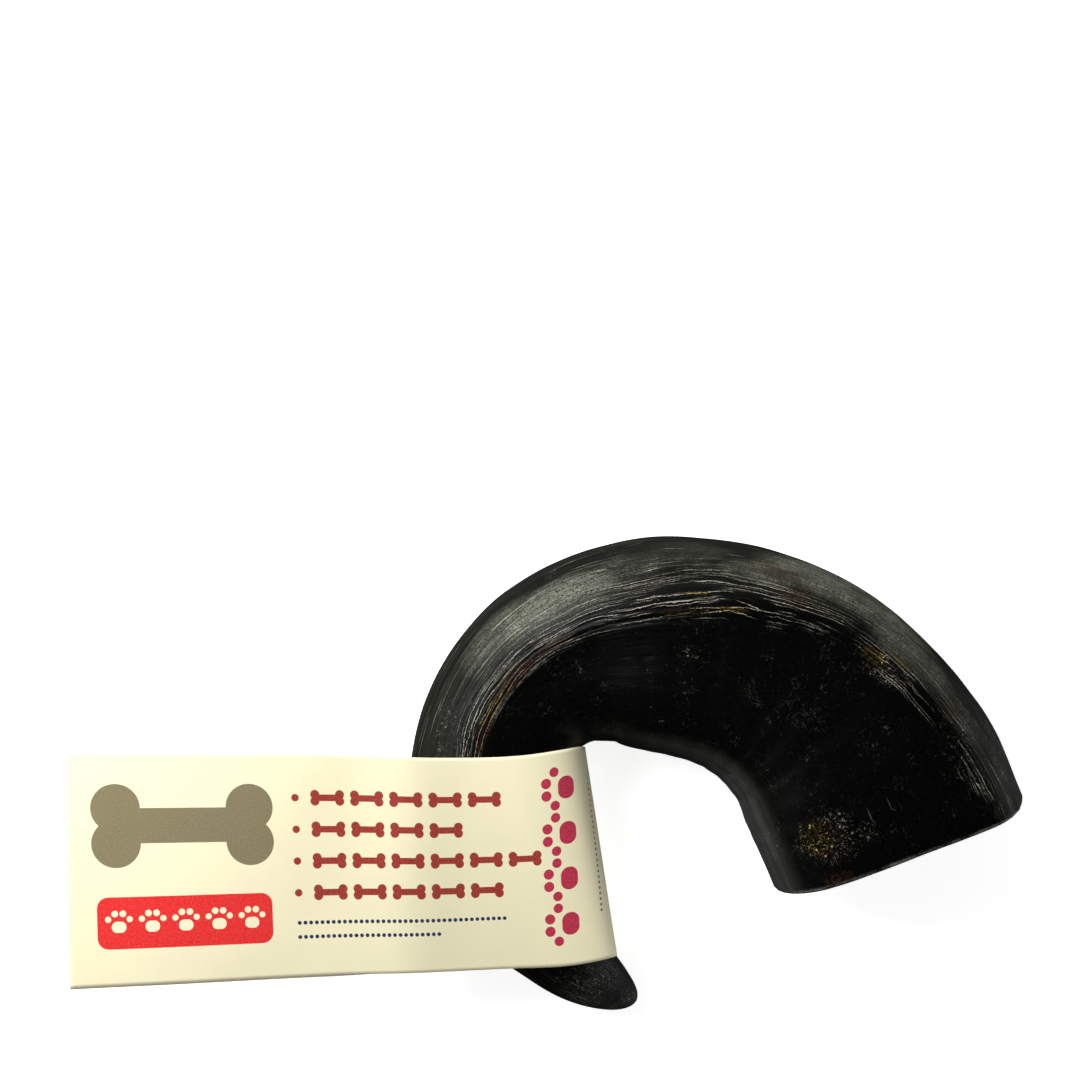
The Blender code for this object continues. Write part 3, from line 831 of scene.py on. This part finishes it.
def horn_outside():
    made = bpy.data.materials.new("horn_outside")
    g = Graph(made)
    grain = g.attribute("grain")
    point = g.point_in_mm()
    along, across, up = g.split(grain)
    around = g.times(g.math("ARCTAN2", up, across), HORN_RADIUS)
    worn = g.math("MAXIMUM", g.times(g.split(g.attribute("place"))[2], -1.0), 0.0)
    band = g.times(g.ramp(around, 0.5, 11.0), g.ramp(around, 44.0, 66.0, 1.0, 0.0))
    gold, brown, specked, highlighted, fibrous, dull_and_tip_sheen = (
        patches(g, along, around, listed) for listed in
        (GOLD_PATCHES, BROWN_PATCHES, SPECK_PATCHES, HIGHLIGHT_PATCHES, FIBRE_PATCHES, DULL_AND_TIP_SHEEN_PATCHES))

    # Broad and fine streaks along the fibres, then clouds, patches and grit that follow no direction
    coarse = g.noise(g.scaled(grain, (0.030, 0.40, 0.40)), 4.0, 0.65)
    streak = g.noise(g.scaled(grain, (0.060, 1.3, 1.3), (7.0, 3.0, 0.0)), 3.0, 0.65)
    fine = g.noise(g.scaled(grain, (0.16, 3.2, 3.2), (5.0, 2.0, 1.0)), 2.0, 0.6)
    cloud = g.noise(g.scaled(point, (0.045,) * 3), 3.0, 0.55)
    patchy = g.noise(g.scaled(point, (0.16,) * 3, (3.0, 8.0, 1.0)), 3.0, 0.6)
    grit = g.noise(g.scaled(point, (2.1,) * 3), 3.0, 0.65, 1.2)
    fibres = split_fibres(g, grain, along, around, fibrous, patchy, grit, band)
    marks = scratches(g, point, specked)
    flecks = chips(g, point, specked, patchy, grit)

    # Black with a grey outer side that is partly painted light, dull in one place and with a painted
    # highlight in another
    grey = g.mix(g.ramp(coarse, 0.32, 0.68), *BAND_GREYS)
    grey = g.mix(g.times(g.ramp(streak, 0.45, 0.70), 0.5), grey, STREAK_GREY)
    chalky = g.times(g.ramp(patchy, 0.30, 0.62, 0.50, 1.0), g.ramp(grit, 0.42, 0.60, 0.32, 1.35),
                     g.ramp(fine, 0.36, 0.62, 0.65, 1.25))
    # Dull pale grey in places, and a faint painted highlight over the round tip
    grey = g.mix(g.times(dull_and_tip_sheen, chalky), grey, DULL_AND_TIP_SHEEN_GREY)
    # Painted highlight of the softbox on the outer side, broken up by the fine grain and grit
    highlight_grain = g.times(g.ramp(fine, 0.36, 0.64, 0.40, 1.0), g.ramp(grit, 0.40, 0.58, 0.15, 1.1))
    grey = g.mix(g.times(highlighted, highlight_grain), grey, HIGHLIGHT_GREY)
    # The outer side is grey over the black, partly painted light
    base = g.mix(band, g.mix(cloud, *BLACKS), grey)
    # Painted sheen: the hollow side of the bend is painted a little paler, in place of the floor's light
    # reflected there
    inner_sheen = g.times(g.ramp(around, -34.0, -27.0, 1.0, 0.0), g.ramp(around, -66.0, -56.0),
                     g.ramp(along, 78.0, 92.0, 1.0, 0.15), g.ramp(coarse, 0.30, 0.65, 0.5, 1.0))
    base = g.mix(inner_sheen, base, INNER_SHEEN_GREY)
    # The sawn edge is rubbed pale along its rim
    rim = g.times(g.ramp(along, 0.0, 1.1, 1.0, 0.0), g.ramp(patchy, 0.40, 0.60),
                  g.ramp(grit, 0.40, 0.56, 0.1, 0.8))
    base = g.mix(rim, base, RIM_GREY)
    browned = g.times(brown, g.ramp(streak, 0.40, 0.62), g.ramp(grit, 0.42, 0.58), 0.6)
    base = g.mix(browned, base, BROWN)
    gilded = g.times(gold, g.ramp(fine, 0.52, 0.66), g.ramp(grit, 0.42, 0.54), 0.3)
    base = g.mix(gilded, base, GOLD)
    thread = g.mix(g.times(brown, 0.6), g.mix(gold, PALE_FIBRE, GOLD_FIBRE), BROWN_FIBRE)
    base = g.mix(g.times(fibres, g.add(0.88, g.times(worn, 0.12))), base, thread)
    base = g.mix(g.times(marks, 0.45), base, SCRATCH_GREY)
    base = g.mix(flecks, base, g.mix(gold, PALE_FLECK, GOLD_FLECK))

    rough = g.add(0.25, g.times(band, 0.16), g.times(coarse, 0.14), g.times(fibres, 0.2),
                  g.times(flecks, 0.3))
    height = g.add(g.times(streak, 0.08), g.times(fine, 0.06), g.times(grit, 0.03))
    g.surface(base, rough, g.bump(height, 0.8), HORN_SHINE)
    return made


def horn_sawn():
    made = bpy.data.materials.new("horn_sawn")
    g = Graph(made)
    _, around, inset = g.split(g.attribute("place"))
    where = g.node("ShaderNodeCombineXYZ", {0: g.times(inset, 1.6), 1: g.times(around, 0.05)}).outputs[0]
    layers = g.noise(where, 3.0, 0.6)
    saw = g.noise(g.scaled(g.point_in_mm(), (0.25, 0.25, 1.6)), 2.0, 0.5)
    base = g.mix(g.ramp(layers, 0.35, 0.65), (0.010, 0.009, 0.008), (0.045, 0.040, 0.032))
    base = g.mix(g.times(g.ramp(saw, 0.5, 0.7), 0.5), base, (0.085, 0.078, 0.065))
    height = g.add(g.times(saw, 0.08), g.times(layers, 0.04))
    g.surface(base, g.ramp(saw, 0.3, 0.7, 0.5, 0.72), g.bump(height, 0.7))
    return made


def horn_hollow():
    made = bpy.data.materials.new("horn_hollow")
    g = Graph(made)
    flutes = g.noise(g.scaled(g.attribute("grain"), (0.06, 0.5, 0.5)), 3.0, 0.6)
    dust = g.noise(g.scaled(g.point_in_mm(), (0.3,) * 3), 4.0, 0.6)
    base = g.mix(g.ramp(flutes, 0.35, 0.65), (0.030, 0.024, 0.018), (0.12, 0.095, 0.065))
    base = g.mix(g.ramp(dust, 0.50, 0.72), base, (0.22, 0.19, 0.14))
    height = g.add(g.times(flutes, 0.2), g.times(dust, 0.1))
    g.surface(base, g.ramp(dust, 0.3, 0.7, 0.65, 0.85), g.bump(height, 0.8))
    return made


# The paper's material

PAPER_CREAM, PAPER_FIBRE = (0.95, 0.885, 0.600), (0.80, 0.70, 0.46)
DARK_RED, BRIGHT_RED, TAUPE = (0.34, 0.022, 0.016), (0.80, 0.010, 0.016), (0.215, 0.180, 0.096)
CRIMSON, NAVY, GREY = (0.52, 0.012, 0.065), (0.006, 0.016, 0.090), (0.16, 0.15, 0.13)
PAPER_SHINE = 0.3
INK_EDGE = 0.05            # ink fades out over this distance either side of its edge

# Distances along and across the strip. The large bone and the bar below it share a centre line
MARK_AT, MARK_SIZE = (25.0, 16.0), 6.2
BAR_AT, BAR_HALF, BAR_CORNER = (25.0, 37.0), (19.0, 5.6), 2.4
BAR_PAWS_START, BAR_PAWS, BAR_PAW_SPACING, BAR_PAW_SIZE = 10.6, 5, 7.2, 1.15
# Rows of small bones: distance across the strip and how many there are
BONE_ROWS = ((10.0, 5), (17.2, 4), (24.4, 6), (31.6, 5))
ROWS_START, ROWS_INDENT, BONE_SPACING, BONE_SIZE, LEAD_DOT = 50.0, 7.4, 9.2, 1.22, 0.85
# Rows of dots: distance along and across the strip, how many, spacing and size
DOT_ROWS = ((50.0, 38.4, 38, 1.3, 0.45), (50.0, 41.6, 26, 1.3, 0.45))
BACK_ROWS = ((232.0, 14.0, 30, 1.5, 0.50), (232.0, 18.0, 24, 1.5, 0.50), (232.0, 22.0, 28, 1.5, 0.50),
             (232.0, 26.0, 18, 1.5, 0.50))
COLUMN_AT, COLUMN_START, COLUMN_PAWS, COLUMN_SPACING, COLUMN_SIZE = 112.3, 8.8, 4, 10.6, 1.95
LINE_AT, LINE_START, LINE_DOTS, LINE_SPACING, LINE_SIZE = 121.5, 9.0, 24, 1.3, 0.33


class Print:
    """Shapes printed on the flat strip, with slightly soft edges."""

    def __init__(self, g, u, v):
        self.g, self.u, self.v = g, u, v

    def away(self, value, centre, count=1, spacing=0.0):
        """Signed distance from the nearest of a number of evenly spaced centres."""
        g = self.g
        from_first = g.math("SUBTRACT", value, centre)
        if count == 1:
            return from_first
        nearest = g.math("ROUND", g.math("DIVIDE", from_first, spacing))
        nearest = g.math("MINIMUM", g.math("MAXIMUM", nearest, 0.0), count - 1)
        return g.math("SUBTRACT", from_first, g.times(nearest, spacing))

    def within(self, reach, radius):
        return self.g.ramp(reach, radius - INK_EDGE, radius + INK_EDGE, 1.0, 0.0)

    def box(self, du, dv, half, corner):
        g = self.g
        over = [g.math("MAXIMUM", g.math("SUBTRACT", g.math("ABSOLUTE", d), h - corner), 0.0)
                for d, h in ((du, half[0]), (dv, half[1]))]
        return self.within(g.length(*over), corner)

    def disc(self, du, dv, radius, centre=(0.0, 0.0)):
        g = self.g
        off = [g.math("SUBTRACT", value, at) for value, at in zip((du, dv), centre)]
        return self.within(g.length(*off), radius)

    def bone(self, du, dv, size):
        g = self.g
        beside, over = g.math("ABSOLUTE", du), g.math("ABSOLUTE", dv)
        knob = self.disc(beside, over, 0.85 * size, (2.35 * size, 0.62 * size))
        return g.math("MAXIMUM", knob, self.box(du, dv, (2.5 * size, 0.62 * size), 0.1 * size))

    def paw(self, du, dv, size):
        g = self.g
        beside = g.math("ABSOLUTE", du)
        pad = self.box(du, g.math("SUBTRACT", dv, 0.75 * size), (1.35 * size, 1.05 * size), 1.0 * size)
        toes = g.math("MAXIMUM", self.disc(beside, dv, 0.62 * size, (0.75 * size, -1.75 * size)),
                      self.disc(beside, dv, 0.58 * size, (2.0 * size, -0.72 * size)))
        return g.math("MAXIMUM", pad, toes)


def printed_over(g, base, u, v, fibre):
    """The base colour with the strip's design over it."""
    ink = Print(g, u, v)
    uneven = g.ramp(fibre, 0.35, 0.70, 0.995, 0.94)
    # A large bone over a bar with a row of paws left bare in it
    mark = ink.bone(ink.away(u, MARK_AT[0]), ink.away(v, MARK_AT[1]), MARK_SIZE)
    base = g.mix(g.times(mark, uneven), base, TAUPE)
    across = ink.away(v, BAR_AT[1])
    bar = ink.box(ink.away(u, BAR_AT[0]), across, BAR_HALF, BAR_CORNER)
    bare = ink.paw(ink.away(u, BAR_PAWS_START, BAR_PAWS, BAR_PAW_SPACING), across, BAR_PAW_SIZE)
    base = g.mix(g.times(g.math("SUBTRACT", bar, bare, True), uneven), base, BRIGHT_RED)
    # Rows of small bones, each led by a dot
    rows = 0.0
    for row_at, count in BONE_ROWS:
        across = ink.away(v, row_at)
        along = ink.away(u, ROWS_START + ROWS_INDENT, count, BONE_SPACING)
        rows = g.math("MAXIMUM", rows, ink.bone(along, across, BONE_SIZE))
        rows = g.math("MAXIMUM", rows, ink.disc(ink.away(u, ROWS_START), across, LEAD_DOT))
    base = g.mix(g.times(rows, uneven), base, DARK_RED)
    dots = 0.0
    for start, row_at, count, spacing, size in DOT_ROWS + BACK_ROWS:
        dot = ink.disc(ink.away(u, start, count, spacing), ink.away(v, row_at), size)
        dots = g.math("MAXIMUM", dots, dot)
    base = g.mix(g.times(dots, uneven), base, NAVY)
    # A column of paws beside the fold, and a line of fine dots on it
    along_column = ink.away(v, COLUMN_START, COLUMN_PAWS, COLUMN_SPACING)
    column = ink.paw(along_column, ink.away(u, COLUMN_AT), COLUMN_SIZE)
    base = g.mix(g.times(column, uneven), base, CRIMSON)
    line = ink.disc(ink.away(u, LINE_AT), ink.away(v, LINE_START, LINE_DOTS, LINE_SPACING), LINE_SIZE)
    return g.mix(g.times(line, uneven), base, GREY)


def paper(printed):
    made = bpy.data.materials.new("paper_printed" if printed else "paper_plain")
    g = Graph(made)
    flat = g.attribute("flat")
    u, v, _ = g.split(flat)
    mottle = g.noise(g.scaled(flat, (0.22, 0.22, 0.0)), 4.0, 0.6)
    fibre = g.noise(g.scaled(flat, (2.2, 2.2, 0.0)), 3.0, 0.6)
    base = g.mix(mottle, tuple(c * 0.97 for c in PAPER_CREAM), PAPER_CREAM)
    base = g.mix(g.times(g.ramp(fibre, 0.55, 0.75), 0.10), base, PAPER_FIBRE)
    if printed:
        base = printed_over(g, base, u, v, fibre)
    g.surface(base, g.ramp(mottle, 0.3, 0.7, 0.50, 0.62), g.bump(fibre, 0.5, 0.02), PAPER_SHINE)
    return made


# Floor and light

FLOOR_SIZE = 8.0           # metres
FLOOR_WHITES = ((0.93, 0.93, 0.93), (0.95, 0.95, 0.95))
FLOOR_GLOW = 0.85          # keeps the floor near white under the soft light


def add_floor():
    made = bpy.data.materials.new("floor")
    g = Graph(made)
    point = g.node("ShaderNodeTexCoord").outputs["Object"]
    tone = g.mix(g.noise(g.scaled(point, (3.0,) * 3), 3.0), *FLOOR_WHITES)
    shader = g.node("ShaderNodeBsdfPrincipled", {"Base Color": tone, "Roughness": 0.9})
    shader.inputs["Specular IOR Level"].default_value = 0.1
    shader.inputs["Emission Color"].default_value = (1.0, 1.0, 1.0, 1.0)
    shader.inputs["Emission Strength"].default_value = FLOOR_GLOW
    g.node("ShaderNodeOutputMaterial", {"Surface": shader.outputs[0]})
    bpy.ops.mesh.primitive_plane_add(size=FLOOR_SIZE, location=(0.0, 0.0, 0.0))
    floor = bpy.context.object
    floor.name = "floor"
    floor.data.materials.append(made)
    # The floor takes the objects' soft shadows but throws no light back up at them
    floor.visible_diffuse = False
    floor.visible_glossy = False


SOFTBOX_AT, SOFTBOX_AIM = Vector((-175.0, 125.0, 235.0)), Vector((0.0, 0.0, 20.0))
SOFTBOX_SIZE, SOFTBOX_POWER = 170.0, 1.24
TENT_SIDE = (-0.70, 0.71)      # plan direction of the tent's bright side
LOW_SIDE = (0.97, -0.24)       # plan direction of the low patch of light, on the sawn base's side
TENT_LIGHT, LOW_LIGHT = 0.66, 2.4


def add_light():
    """A softbox above the upper left, in a pale tent that is open and dark overhead."""
    lamp = bpy.data.lights.new("softbox", "AREA")
    lamp.size = SOFTBOX_SIZE * MM
    lamp.energy = SOFTBOX_POWER
    softbox = bpy.data.objects.new("softbox", lamp)
    softbox.location = SOFTBOX_AT * MM
    softbox.rotation_euler = (SOFTBOX_AIM - SOFTBOX_AT).to_track_quat("-Z", "Y").to_euler()
    softbox.visible_camera = False
    bpy.context.scene.collection.objects.link(softbox)

    world = bpy.data.worlds.new("tent")
    g = Graph(world)
    x, y, z = g.split(g.node("ShaderNodeTexCoord").outputs["Generated"])
    toward, opposite = (g.add(g.times(x, way[0]), g.times(y, way[1])) for way in (TENT_SIDE, LOW_SIDE))
    overhead = g.times(g.ramp(z, 0.60, 0.80, 1.0, 0.010), g.ramp(z, -0.05, 0.40, 0.30, 1.0))
    tent = g.times(overhead, g.ramp(toward, -0.2, 0.95, 0.06, 1.35), TENT_LIGHT)
    height = g.times(g.ramp(z, 0.25, 0.50, 1.0, 0.0), g.ramp(z, -0.10, 0.05, 0.3, 1.0))
    low = g.times(height, g.ramp(opposite, 0.45, 1.0, 0.0, LOW_LIGHT))
    back = g.node("ShaderNodeBackground", {"Color": (1.0, 1.0, 1.0, 1.0), "Strength": g.add(tent, low)})
    g.node("ShaderNodeOutputWorld", {"Surface": back.outputs[0]})
    bpy.context.scene.world = world


bpy.context.scene.view_settings.view_transform = "Standard"
add_camera()
add_light()
add_floor()
add_horn(horn_outside(), horn_sawn(), horn_hollow())
add_strip((paper(True), paper(False)))

bpy.context.view_layer.update()
